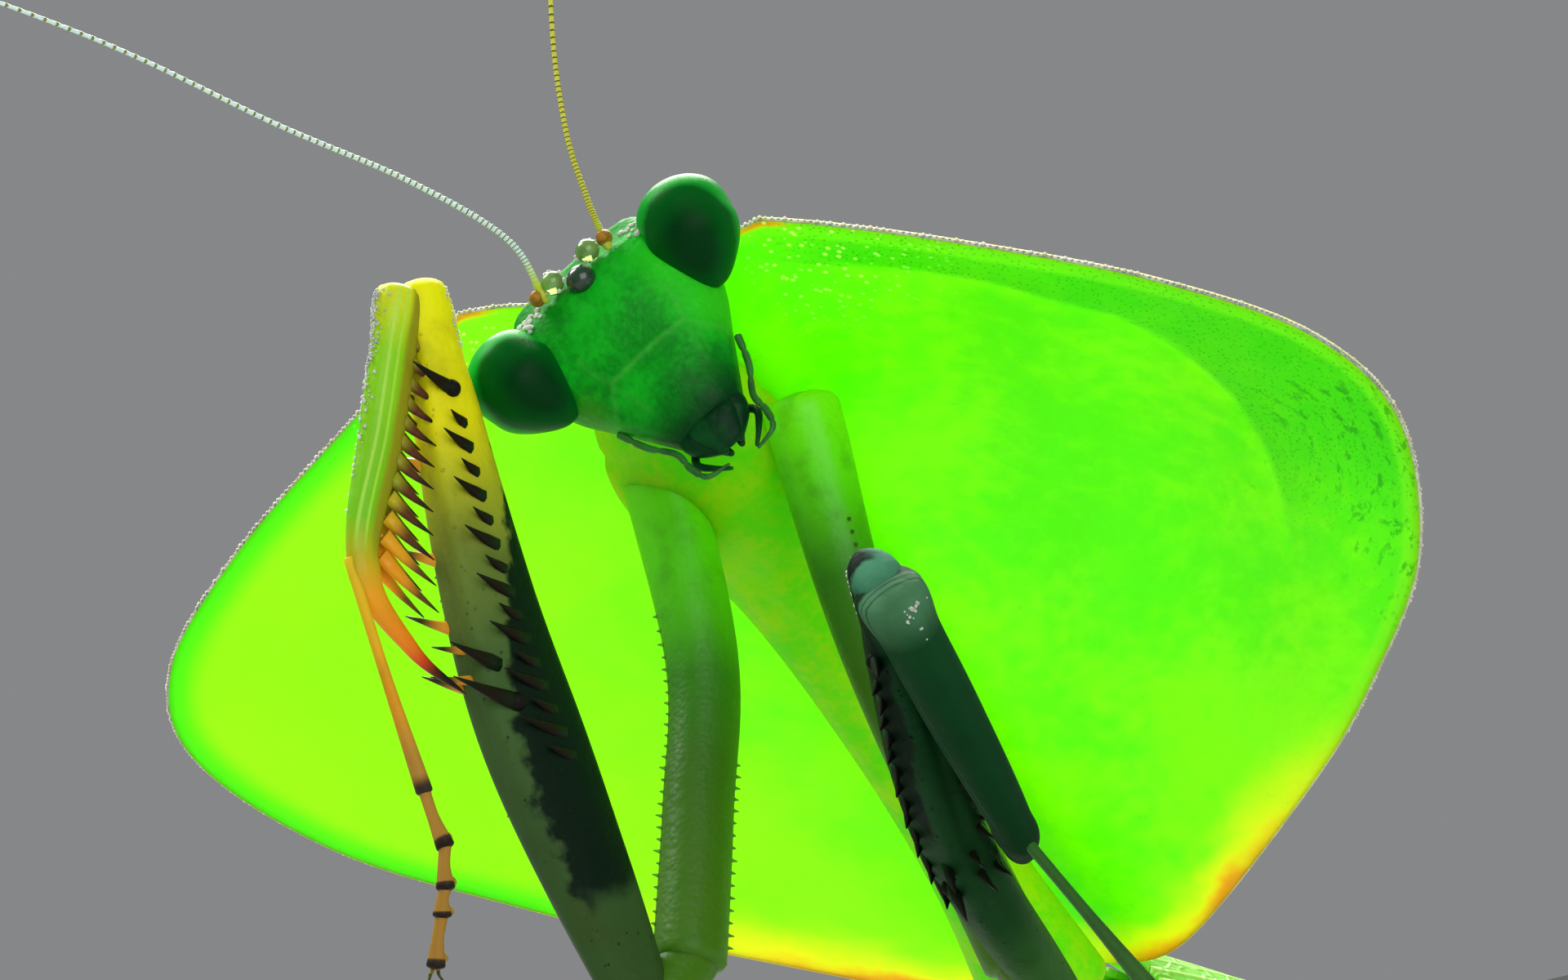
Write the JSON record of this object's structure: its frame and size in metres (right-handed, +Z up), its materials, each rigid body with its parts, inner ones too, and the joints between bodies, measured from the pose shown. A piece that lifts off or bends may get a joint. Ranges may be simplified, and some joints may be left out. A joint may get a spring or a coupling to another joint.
{
  "type": "hooded mantis model",
  "caption": "Life-size hooded praying mantis with a broad leaf-like shield, standing on its walking legs with its grasping legs folded and its head turned.",
  "frame": {"origin": "middle of the bottom of the model's bounding box, on the floor that its four feet stand on", "axes": "+Z up, +Y to the animal's rear along its length, +X to the animal's left"},
  "size_m": [0.0538, 0.0698, 0.0617],
  "materials": {
    "shield_lime": "thin lime-green cuticle, satin, with a pale rim and orange corners",
    "body_green": "green cuticle, satin",
    "head_green": "mottled emerald cuticle, satin, with pale sutures",
    "eye_green": "very dark green, glossy, brighter at the rim",
    "mouth_green": "dark green cuticle, satin",
    "antenna_ochre": "ochre, finely ringed",
    "leg_green": "olive to mid-green cuticle, satin, with fine granules",
    "femur_yellow": "yellow at the knee to grey-green at the base, with black spines and a dark blotch",
    "tarsus_orange": "orange to cream, with dark joints",
    "wing_green": "leathery green fore wing, veined"
  },
  "bodies": {
    "root": {"pronotum": "shield_lime", "prothorax": "body_green", "neck": "body_green", "pterothorax": "body_green", "abdomen": "body_green", "cercus_left": "body_green", "cercus_right": "body_green", "head": "head_green", "eye_left": "eye_green", "eye_right": "eye_green", "mouthparts": "mouth_green", "maxillary_palp_left": "mouth_green", "maxillary_palp_right": "mouth_green", "antenna_left": "antenna_ochre", "antenna_right": "antenna_ochre", "fore_coxa_left": "leg_green", "fore_trochanter_left": "leg_green", "fore_tibia_left": "leg_green", "fore_femur_left": "femur_yellow", "fore_tarsus_left": "tarsus_orange", "mid_coxa_left": "leg_green", "mid_femur_left": "leg_green", "mid_tibia_left": "leg_green", "mid_tarsus_left": "tarsus_orange", "hind_coxa_left": "leg_green", "hind_femur_left": "leg_green", "hind_tibia_left": "leg_green", "hind_tarsus_left": "tarsus_orange", "tegmen_left": "wing_green", "fore_coxa_right": "leg_green", "fore_trochanter_right": "leg_green", "fore_tibia_right": "leg_green", "fore_femur_right": "femur_yellow", "fore_tarsus_right": "tarsus_orange", "mid_coxa_right": "leg_green", "mid_femur_right": "leg_green", "mid_tibia_right": "leg_green", "mid_tarsus_right": "tarsus_orange", "hind_coxa_right": "leg_green", "hind_femur_right": "leg_green", "hind_tibia_right": "leg_green", "hind_tarsus_right": "tarsus_orange", "tegmen_right": "wing_green"}
  },
  "joints": []
}
